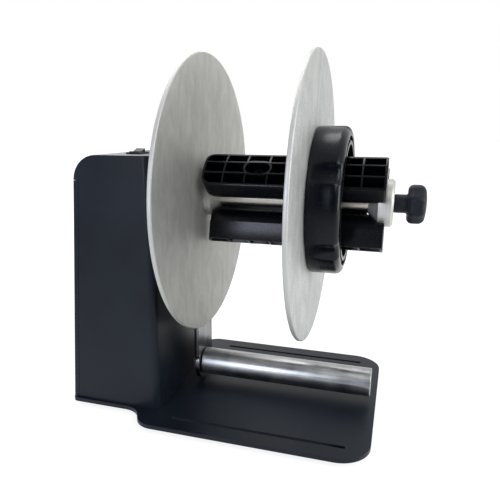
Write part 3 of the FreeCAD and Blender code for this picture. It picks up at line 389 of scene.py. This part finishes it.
# %% Steel
def steel(name, dark, light, rough, marks, depth=0.006, blotch=7.0):
    """A bare or plated steel. Its marks have a size (x, y, z), a depth and smudges as wide as blotch, all in
    millimetres."""
    material, tree, shader, place = finish_named(name, metallic=1.0)
    where = add(tree, "ShaderNodeMapping", {"Vector": place, "Scale": grains(*marks)}).outputs["Vector"]
    scratch = add(tree, "ShaderNodeTexNoise", {"Vector": where, "Scale": 1.0, "Detail": 3.0,
                                               "Roughness": 0.6}).outputs["Fac"]
    smudge = add(tree, "ShaderNodeTexNoise", {"Vector": place, "Scale": grains(blotch), "Detail": 2.0})
    both = add(tree, "ShaderNodeMath", {0: scratch, 1: smudge.outputs["Fac"]}, operation="ADD")
    share = add(tree, "ShaderNodeMapRange", {"Value": both.outputs[0], "From Min": 0.7,
                                             "From Max": 1.3}).outputs["Result"]
    tone = add(tree, "ShaderNodeValToRGB", {"Fac": share}, [(0.0, dark), (1.0, light)])
    tree.links.new(tone.outputs["Color"], shader.inputs["Base Color"])
    dull = add(tree, "ShaderNodeMapRange", {"Value": share, "To Min": rough[0], "To Max": rough[1]})
    tree.links.new(dull.outputs["Result"], shader.inputs["Roughness"])
    bump = add(tree, "ShaderNodeBump", {"Height": scratch, "Distance": depth * MM, "Strength": 1.0})
    tree.links.new(bump.outputs["Normal"], shader.inputs["Normal"])
    return material


polished = steel("polished_steel_tube", "#94969a", "#c6c6c4", (0.28, 0.44), (36, 0.9, 0.9), 0.005, 14.0)
drawn = steel("drawn_steel_bar", "#b9b6ae", "#d6d2c9", (0.3, 0.42), (16, 0.5, 0.5))
rolled = steel("bare_rolled_steel", "#505154", "#9a9b9c", (0.18, 0.28), (2, 1.2, 34), 0.016, 24.0)
zinc = steel("zinc_plated_steel", "#8f9193", "#b3b5b6", (0.26, 0.4), (1.2, 1.2, 1.2))
blackened = steel("blackened_steel", "#121315", "#1f2124", (0.35, 0.5), (1.0, 1.0, 1.0))
ground = steel("ground_bearing_steel", "#8e9091", "#adafb0", (0.14, 0.24), (0.3, 4, 4))
hobbed = steel("hobbed_gear_steel", "#6e6f70", "#8c8d8e", (0.3, 0.45), (0.4, 3, 3))
cast = steel("cast_zinc_alloy", "#77797b", "#8f9193", (0.42, 0.58), (0.7, 0.7, 0.7), 0.03)
print(polished.name, len(polished.node_tree.nodes), "nodes")

# %% [markdown]
# ## Moulded plastics and rubber
# The jaws and the sleeve are glass filled nylon, dull with a faint grain. The hand wheel is ABS from a
# polished mould, so it shows long soft highlights. The clamping knob has a satin, almost rubbery skin, and
# the feet and bumpers are matt rubber. Black plastic is very dark in itself, and nearly all that the eye
# sees on it is reflection.

# %% Plastics and rubber
def moulded(name, dark, light, rough, grain_size, depth, reflection):
    """A moulded plastic or rubber with a mould grain of a size in millimetres."""
    material, tree, shader, place = finish_named(name, reflection=reflection)
    skin = add(tree, "ShaderNodeTexNoise", {"Vector": place, "Scale": grains(grain_size), "Detail": 2.0})
    skin = skin.outputs["Fac"]
    flow = add(tree, "ShaderNodeTexNoise", {"Vector": place, "Scale": grains(20), "Detail": 2.0})
    tone = add(tree, "ShaderNodeValToRGB", {"Fac": flow.outputs["Fac"]}, [(0.3, dark), (0.7, light)])
    tree.links.new(tone.outputs["Color"], shader.inputs["Base Color"])
    dull = add(tree, "ShaderNodeMapRange", {"Value": skin, **MIDDLE, "To Min": rough[0],
                                            "To Max": rough[1]})
    tree.links.new(dull.outputs["Result"], shader.inputs["Roughness"])
    bump = add(tree, "ShaderNodeBump", {"Height": skin, "Distance": depth * MM, "Strength": 1.0})
    tree.links.new(bump.outputs["Normal"], shader.inputs["Normal"])
    return material


nylon = moulded("glass_filled_nylon", "#020308", "#05070c", (0.24, 0.32), 0.5, 0.006, 0.24)
glossy_abs = moulded("glossy_black_abs", "#02050b", "#050a13", (0.2, 0.28), 1.4, 0.003, 0.24)
satin_knob = moulded("satin_knob_plastic", "#0d1017", "#141821", (0.42, 0.55), 0.4, 0.012, 0.22)
switch_black = moulded("switch_nylon", "#030407", "#06080b", (0.34, 0.44), 0.6, 0.006, 0.2)
rubber = moulded("matt_rubber", "#0b0c0e", "#121316", (0.65, 0.8), 0.5, 0.03, 0.25)
acetal = moulded("natural_acetal", "#d8d4c8", "#e4e1d6", (0.35, 0.45), 0.5, 0.006, 0.5)
mask = moulded("solder_mask", "#0f4a2a", "#145a34", (0.25, 0.35), 0.8, 0.01, 0.5)
print("finishes so far", len(bpy.data.materials))

# %% [markdown]
# Brass standoffs carry the control board. They are turned from bare hexagon bar and seldom seen.

# %% Brass
def bare_brass():
    material, tree, shader, place = finish_named("bare_turned_brass", metallic=1.0)
    where = add(tree, "ShaderNodeMapping", {"Vector": place, "Scale": grains(6, 6, 0.3)})
    rings = add(tree, "ShaderNodeTexNoise", {"Vector": where.outputs["Vector"], "Scale": 1.0,
                                             "Detail": 2.0}).outputs["Fac"]
    tone = add(tree, "ShaderNodeValToRGB", {"Fac": rings}, [(0.3, "#a98443"), (0.7, "#c7a35c")])
    tree.links.new(tone.outputs["Color"], shader.inputs["Base Color"])
    dull = add(tree, "ShaderNodeMapRange", {"Value": rings, **MIDDLE, "To Min": 0.24, "To Max": 0.34})
    tree.links.new(dull.outputs["Result"], shader.inputs["Roughness"])
    bump = add(tree, "ShaderNodeBump", {"Height": rings, "Distance": 0.005 * MM, "Strength": 1.0})
    tree.links.new(bump.outputs["Normal"], shader.inputs["Normal"])
    return material


brass = bare_brass()
print(brass.name, len(brass.node_tree.nodes), "nodes")

# %% [markdown]
# ## Softer edges
# Nothing that is bent, moulded or machined ends in a razor edge. A sheet metal edge is broken by a few
# tenths of a millimetre, and so is a moulded rib, and that thin strip is what catches the light. The
# workshop model has sharp edges, so this function takes a copy of a piece's mesh, welds it, joins what is
# flat and bevels every edge that is sharper than thirty degrees.

# %% Pieces with softened edges
WELD = 2e-6
SHARP_FROM = radians(30)
LONG_EDGE = 50 * MM


def softened(node, name, material, body, edge, segments=2, flat=0.4, fine=None):
    """A copy of a node's mesh with each sharp edge broken by a width in millimetres. Faces that turn by less
    than flat degrees are joined. Given fine, only long edges get the whole width, and the others get that
    share of it."""
    bm = bmesh.new()
    bm.from_mesh(frame["nodes"][node].data)
    bmesh.ops.remove_doubles(bm, verts=bm.verts, dist=WELD)
    bmesh.ops.dissolve_limit(bm, angle_limit=radians(flat), verts=bm.verts, edges=bm.edges)
    if fine:
        weight = bm.edges.layers.float.new("bevel_weight_edge")
        for line in bm.edges:
            sharp = line.is_manifold and line.calc_face_angle(0.0) > SHARP_FROM
            line[weight] = sharp * (1.0 if line.calc_length() > LONG_EDGE else fine)
    piece = mesh_piece(name, bm, material)
    bevel = piece.modifiers.new("broken edges", "BEVEL")
    bevel.width = edge * MM
    bevel.segments = segments
    bevel.limit_method = "WEIGHT" if fine else "ANGLE"
    bevel.angle_limit = SHARP_FROM
    bevel.harden_normals = False
    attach(piece, body)
    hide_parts(node)
    print(name, len(piece.data.polygons), "faces")
    return piece


softened("base_plate", "base_plate_coated", coat, "chassis", 0.5, 3)
softened("housing_shell", "housing_coated", coat, "chassis", 0.45, 3)
softened("side_cover", "side_cover_coated", coat, "chassis", 0.4, 3)
softened("rubber_feet", "feet_moulded", rubber, "chassis", 0.5, 3)
softened("arm_stops", "bumpers_moulded", rubber, "chassis", 0.2)

# %% [markdown]
# The moving metal gets the same treatment. The discs have a chamfer already, which only needs its two
# edges rounded off.

# %% Discs, arm and turned pieces
softened("inner_flange", "inner_disc", brushed, "spindle", 0.25)
softened("outer_flange", "outer_disc", blasted, "outer_flange", 0.25)
softened("inner_hub", "hub_turned", turned_metal, "spindle", 0.3)
softened("end_cone", "end_cone_turned", turned_metal, "end_cone", 0.25)
softened("spindle_shaft", "spindle_bar", drawn, "spindle", 0.25, 2, 0.05)
softened("dancer_arm", "arm_bar", rolled, "dancer_arm", 0.35)
softened("roller_tube", "roller_tube_polished", polished, "roller", 0.2, 3, 0.05)

# %% [markdown]
# Mould makers round the edges of a jaw and its ribs so that the plastic flows and the piece leaves the
# mould. A jaw's long outer edges are rounder than its ribs, and they draw a line of light along it.

# %% Moulded pieces
softened("rocker_switch", "switch_bezel", switch_black, "chassis", 0.2)
softened("switch_rocker", "switch_key", switch_black, "rocker", 0.3, 3)
softened("flange_sleeve", "sleeve_moulding", nylon, "outer_flange", 0.3)
softened("speed_knob", "dial_moulding", satin_knob, "speed_dial", 0.15, 2, 0.05)
for jaw in ("jaw_1", "jaw_2", "jaw_3"):
    softened(jaw, jaw + "_moulding", nylon, jaw, 0.7, 3, fine=0.45)

# %% [markdown]
# ## Hand wheel
# The wheel is one ABS moulding. Six flutes run across its rim, shallow at the flange and deep at the open
# side, where the fingers go. A turned body with a section that changes with the angle gives that in one go:
# each section is the same closed loop of points, and neighbouring loops are joined by faces. The flutes are
# arcs, so their edges stay crisp enough to catch a line of light.

# %% Round bodies with a changing section
print("spindle", round(SPINDLE.z / MM, 1), "mm above the table")


def round_body(name, section, steps, material, body, node):
    """A closed body about the spindle. section(angle) gives (x, radius) pairs in millimetres, and an angle
    is counted up from the front. x is counted from the node's left end."""
    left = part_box(node)[0][0]
    bm = bmesh.new()
    loops = []
    for i in range(steps):
        angle = 2 * pi * i / steps
        loops.append([bm.verts.new((left + x * MM, SPINDLE.y - radius * MM * cos(angle),
                                    SPINDLE.z + radius * MM * sin(angle))) for x, radius in section(angle)])
    for here, there in zip(loops, loops[1:] + loops[:1]):
        for k in range(len(here)):
            follow = (k + 1) % len(here)
            bm.faces.new((here[k], here[follow], there[follow], there[k]))
    bmesh.ops.recalc_face_normals(bm, faces=bm.faces)
    piece = mesh_piece(name, bm, material)
    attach(piece, body)
    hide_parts(node)
    return piece


def corner(x, radius, size, start, end, steps=6):
    """Points of a rounded corner about a centre, from one angle to another."""
    turns = [radians(start + (end - start) * k / steps) for k in range(steps + 1)]
    return [(x + size * sin(a), radius + size * cos(a)) for a in turns]


def flute_share(angle, count, middle, half_width):
    """One in the middle of a flute, falling to nothing at its edges."""
    pitch = 360 / count
    off = (angle * 180 / pi - middle + pitch / 2) % pitch - pitch / 2
    return max(0.0, 1 - (off / half_width) ** 2)


# %% Hand wheel
wheel_low, wheel_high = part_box("hand_wheel")
WHEEL_LONG = (wheel_high[0] - wheel_low[0]) / MM
WHEEL_RADIUS = (wheel_high[1] - wheel_low[1]) / 2 / MM
WHEEL_BORE, WHEEL_RECESS, RECESS_DEEP = 41.4, 44.6, 3.0
RIM_ROUND, HEEL_ROUND = 5.0, 0.8
FLUTES, FLUTE_MIDDLE, FLUTE_HALF = 6, 26.5, 7.5
FLUTE_HEEL_DEEP, FLUTE_RIM_DEEP, FLUTE_CURVE = 0.45, 2.4, 1.3


def wheel_section(angle):
    share = flute_share(angle, FLUTES, FLUTE_MIDDLE, FLUTE_HALF)

    def outside(t):
        """Radius at a share of the width, from the flange to the open side."""
        deep = FLUTE_HEEL_DEEP + (FLUTE_RIM_DEEP - FLUTE_HEEL_DEEP) * t ** FLUTE_CURVE
        return WHEEL_RADIUS - share * deep

    rim = min(RIM_ROUND, outside(1.0) - WHEEL_RECESS - 0.4)
    points = [(0.0, WHEEL_BORE)] + corner(HEEL_ROUND, outside(0.0) - HEEL_ROUND, HEEL_ROUND, -90, 0, 3)
    reach = WHEEL_LONG - rim
    points += [(HEEL_ROUND + (reach - HEEL_ROUND) * k / 8, outside(k / 8)) for k in range(1, 8)]
    points += corner(reach, outside(1.0) - rim, rim, 0, 90)
    points += [(WHEEL_LONG, WHEEL_RECESS + 0.3), (WHEEL_LONG - 0.3, WHEEL_RECESS),
               (WHEEL_LONG - RECESS_DEEP, WHEEL_RECESS), (WHEEL_LONG - RECESS_DEEP, WHEEL_BORE)]
    return points


wheel = round_body("wheel_moulding", wheel_section, 288, glossy_abs, "hand_wheel",
                   "hand_wheel")
print("wheel", round(WHEEL_LONG, 1), "by", round(2 * WHEEL_RADIUS, 1), "mm")
print("wheel points", len(wheel.data.vertices))

# %% [markdown]
# ## Clamping knob
# The knob is a small moulding that the fingers pinch: a neck, a head whose back and front are well rounded,
# a slightly domed face and eight shallow scoops. It is made in the same way as the wheel.

# %% Clamping knob
knob_low, knob_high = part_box("clamping_knob")
KNOB_LONG = (knob_high[0] - knob_low[0]) / MM
KNOB_RADIUS = (knob_high[1] - knob_low[1]) / 2 / MM
HEAD_LONG, NECK_RADIUS = 12.5, 6.3
HEAD_BACK_ROUND, HEAD_FRONT_ROUND, HEAD_DOME = 3.6, 4.4, 0.8
SCOOPS, SCOOP_HALF, SCOOP_DEEP = 8, 17.0, 0.75


def knob_section(angle):
    radius = KNOB_RADIUS - SCOOP_DEEP * flute_share(angle, SCOOPS, 0.0, SCOOP_HALF)
    back, front = KNOB_LONG - HEAD_LONG, KNOB_LONG - HEAD_DOME
    points = [(0.0, 4.1), (0.0, NECK_RADIUS - 0.4), (0.4, NECK_RADIUS), (back - 0.8, NECK_RADIUS),
              (back, NECK_RADIUS + 0.8)]
    points += corner(back + HEAD_BACK_ROUND, radius - HEAD_BACK_ROUND, HEAD_BACK_ROUND, -90, 0)
    points += corner(front - HEAD_FRONT_ROUND, radius - HEAD_FRONT_ROUND, HEAD_FRONT_ROUND, 0, 78)
    rest = points[-1][1]
    points += [(front + HEAD_DOME * (1 - (k / 4) ** 2), rest * k / 4) for k in (3, 2, 1)]
    return points + [(KNOB_LONG, 0.05), (KNOB_LONG - 5.0, 0.05), (KNOB_LONG - 5.0, 4.1)]


knob = round_body("knob_moulding", knob_section, 192, satin_knob, "knob", "clamping_knob")
print("knob", round(KNOB_LONG, 1), "by", round(2 * KNOB_RADIUS, 1), "mm")

# %% [markdown]
# ## Cheeks beside the jaws' keels
# Under each jaw a keel rides on the two cones. On the real moulding its sides spread into the jaw's floor
# and follow the cones closely, so no light shows between a cone and a jaw. The cheeks are that spread: a
# grid of points across and along the jaw, each as near to the spindle as the cones allow at any setting.

# %% Jaw cheeks
# Radii and places along the spindle in millimetres, and how far a jaw moves in and out.
HUB_RADIUS, HUB_END, RING_START, RING_RADIUS = 14.5, 4.5, 122.7, 16.2
JAW_LEFT, JAW_RIGHT, JAW_HALF, JAW_INSIDE, JAW_CORNER = 4.6, 128.0, 13.4, 19.0, 6.0
KEEL_HALF, KEEL_TIP, CHEEK_GAP, CHEEK_INSET, CHEEK_BULGE = 5.0, 9.0, 0.4, 0.8, 2.4
CLOSED, OPEN = -0.5, 4.1
RING_STEP = RING_START - OPEN - CHEEK_GAP


def beside_cone(cone, across):
    """The lowest radius at which a point beside the middle line clears a cone at every setting."""
    settings = [(((cone + s) ** 2 - across ** 2), s) for s in (CLOSED, 0.0, OPEN)]
    return max([free ** 0.5 - s for free, s in settings if free > 0] + [0.0]) + CHEEK_GAP


def cheek_height(x, across, half):
    flank = KEEL_TIP + (JAW_INSIDE - KEEL_TIP) * ((across - KEEL_HALF) / (half - KEEL_HALF)) ** CHEEK_BULGE
    hub = beside_cone(HUB_RADIUS + HUB_END - x, across) if x < HUB_END + HUB_RADIUS else 0.0
    corner_radius = RING_RADIUS if x > RING_STEP else HUB_RADIUS
    cone_radius = min(RING_RADIUS - CLOSED, corner_radius - (RING_START - x))
    cone = beside_cone(cone_radius, across) if cone_radius > 0 else 0.0
    return min(JAW_INSIDE, max(flank, hub, cone))


def cheek_half(x):
    """Half the width of the cheeks, which follows the rounded corners of the jaw's left end."""
    into = max(0.0, JAW_LEFT + JAW_CORNER - x)
    return JAW_HALF - CHEEK_INSET - JAW_CORNER + (JAW_CORNER ** 2 - into ** 2) ** 0.5


def cheeks(jaw, outwards):
    """Both cheeks of one jaw, whose middle line points outwards from the spindle."""
    sideways = Vector((0.0, outwards.z, -outwards.y))
    long = [JAW_LEFT + 0.1 + 0.9 * k for k in range(20)] + [30, 60, 90, 108]
    long += [RING_STEP - 6 + 1.5 * k for k in range(5)] + [RING_STEP + 0.05]
    long += [RING_STEP + 1 + 0.9 * k for k in range(9)] + [JAW_RIGHT - 0.2]
    bm = bmesh.new()
    for side in (-1, 1):
        loops = []
        for x in long:
            half = cheek_half(x)
            across = [KEEL_HALF - 0.1 + (half - KEEL_HALF + 0.1) * k / 6 for k in range(7)]
            line = [(t, cheek_height(x, max(t, KEEL_HALF), half)) for t in across]
            line = [(across[0], JAW_INSIDE + 0.5)] + line + [(across[-1], JAW_INSIDE + 0.5)]
            along = Vector((x, 0, 0))
            loops.append([bm.verts.new(SPINDLE + (along + outwards * r + sideways * side * t) * MM)
                          for t, r in line])
        for here, there in zip(loops, loops[1:]):
            for k in range(len(here)):
                follow = (k + 1) % len(here)
                bm.faces.new((here[k], here[follow], there[follow], there[k]))
        bm.faces.new(loops[0])
        bm.faces.new(loops[-1])
    bmesh.ops.recalc_face_normals(bm, faces=bm.faces)
    piece = mesh_piece(jaw + "_cheeks", bm, nylon)
    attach(piece, jaw)
    return piece


for jaw in ("jaw_1", "jaw_2", "jaw_3"):
    slide = Vector(next(joint for joint in frame["record"]["behaviour"]["joints"]
                        if joint["name"] == jaw + "_slide")["axis"])
    outwards = Vector((0.0, slide.y, slide.z)).normalized()
    made = cheeks(jaw, outwards)
    print(made.name, len(made.data.polygons), "faces")

# %% [markdown]
# ## Screws
# Pan head screws are cold formed: a wire is struck into a low dome, and a punch leaves the cross in it. The
# head is drawn as rings of points about its own line. The innermost rings follow the outline of the cross,
# which is a radius that changes with the angle.

# %% Pan head screws
HEAD_STEPS = 48
CROSS_REACH, CROSS_HALF = 0.52, 0.14


def solids(node):
    """The points of each separate solid of a node."""
    bm = bmesh.new()
    bm.from_mesh(frame["nodes"][node].data)
    bmesh.ops.remove_doubles(bm, verts=bm.verts, dist=WELD)
    left, found = set(bm.verts), []
    while left:
        stack, points = [left.pop()], []
        while stack:
            vert = stack.pop()
            points.append(vert.co.copy())
            near = {edge.other_vert(vert) for edge in vert.link_edges} & left
            left -= near
            stack += near
        found.append(points)
    bm.free()
    return found


def cross_outline(angle, radius):
    """The outline of the cross recess, as long and as wide as shares of the head's radius."""
    off = abs((angle + pi / 4) % (pi / 2) - pi / 4)
    return min(CROSS_REACH * radius / cos(off), CROSS_HALF * radius / max(sin(off), 1e-6))


def pan_heads(node, name, outwards, height, material, body):
    """Pan heads with a cross recess where a node has its screw heads. The height is in millimetres."""
    outwards = Vector(outwards).normalized()
    turn_to = outwards.to_track_quat("Z", "Y")
    bm = bmesh.new()
    for points in solids(node):
        local = [turn_to.inverted() @ point for point in points]
        low = [min(point[i] for point in local) for i in range(3)]
        high = [max(point[i] for point in local) for i in range(3)]
        radius, tall = (high[0] - low[0]) / 2, height * MM
        foot = turn_to @ Vector(((low[0] + high[0]) / 2, (low[1] + high[1]) / 2, high[2] - tall))
        loops = []
        for i in range(HEAD_STEPS):
            angle = 2 * pi * i / HEAD_STEPS
            cross = cross_outline(angle, radius)
            line = [(radius, 0), (radius, 0.35), (0.96 * radius, 0.62), (0.84 * radius, 0.86),
                    (0.66 * radius, 0.98), (cross * 1.06, 1.0), (cross, 0.95), (0.72 * cross, 0.36),
                    (0.02 * radius, 0.3)]
            loops.append([bm.verts.new(foot + turn_to @ Vector((r * cos(angle), r * sin(angle), z * tall)))
                          for r, z in line])
        for here, there in zip(loops, loops[1:] + loops[:1]):
            for k in range(len(here) - 1):
                bm.faces.new((here[k], here[k + 1], there[k + 1], there[k]))
        bm.faces.new([loop[0] for loop in loops])
        bm.faces.new([loop[-1] for loop in loops])
    bmesh.ops.recalc_face_normals(bm, faces=bm.faces)
    piece = mesh_piece(name, bm, material)
    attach(piece, body)
    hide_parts(node)
    return piece


COVER_LEAN = radians(4.41)
LEAN = (-cos(COVER_LEAN), 0, sin(COVER_LEAN))
pan_heads("side_cover_screws", "cover_screw_heads", LEAN, 1.5, blackened, "chassis")
pan_heads("housing_screws", "base_screw_heads", (0, 0, -1), 1.6, blackened, "chassis")
pan_heads("foot_screws", "foot_screw_heads", (0, 0, -1), 1.2, zinc, "chassis")
pan_heads("cartridge_screws", "cartridge_screw_heads", (1, 0, 0), 1.4, zinc, "chassis")
pan_heads("motor_screws", "motor_screw_heads", (1, 0, 0), 1.4, zinc, "chassis")
screws = ("side_cover_screws", "housing_screws", "foot_screws", "cartridge_screws", "motor_screws")
print("screw heads", sum(len(solids(node)) for node in screws))

# %% [markdown]
# ## Finishes for the other pieces
# The pieces that stay as the workshop model has them take the finish of their real material, except the jaw
# guide screws, whose blackened steel is painted shade for their dark pockets.

# %% Finishes by node
finishes = {
    "bearing_cartridge": turned_metal, "roller_axle": zinc, "roller_bushes": acetal, "arm_bush": acetal,
    "axle_clip": blackened, "arm_retaining_ring": blackened, "wheel_retaining_ring": blackened,
    # Painted shade: the jaw guide screws are zinc plated, and blackened steel stands in for the shade in
    # their pockets.
    "axle_nut": zinc, "flange_screws": zinc, "jaw_guide_screws": blackened, "clamp_screw": zinc,
    "dc_inlet_nut": zinc, "speed_nut": zinc, "motor": zinc, "inner_bearing": ground,
    "outer_bearing": ground, "motor_shaft": ground, "speed_shaft": ground,
    "spindle_gear": hobbed, "pinion": hobbed, "gearbox": cast, "control_board": mask,
    "board_standoffs": brass, "dc_inlet": switch_black, "speed_control": nylon,
}
for node, material in finishes.items():
    mesh = frame["nodes"][node].data
    mesh.materials.clear()
    mesh.materials.append(material)
print("pieces with their own mesh", len(finishes))

# %% [markdown]
# ## Sizes
# The box about everything is written down before and after, so that the two can be compared.

# %% Sizes
for corners in (cad_box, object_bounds()):
    print("box", [round(value, 4) for corner in corners for value in corner])
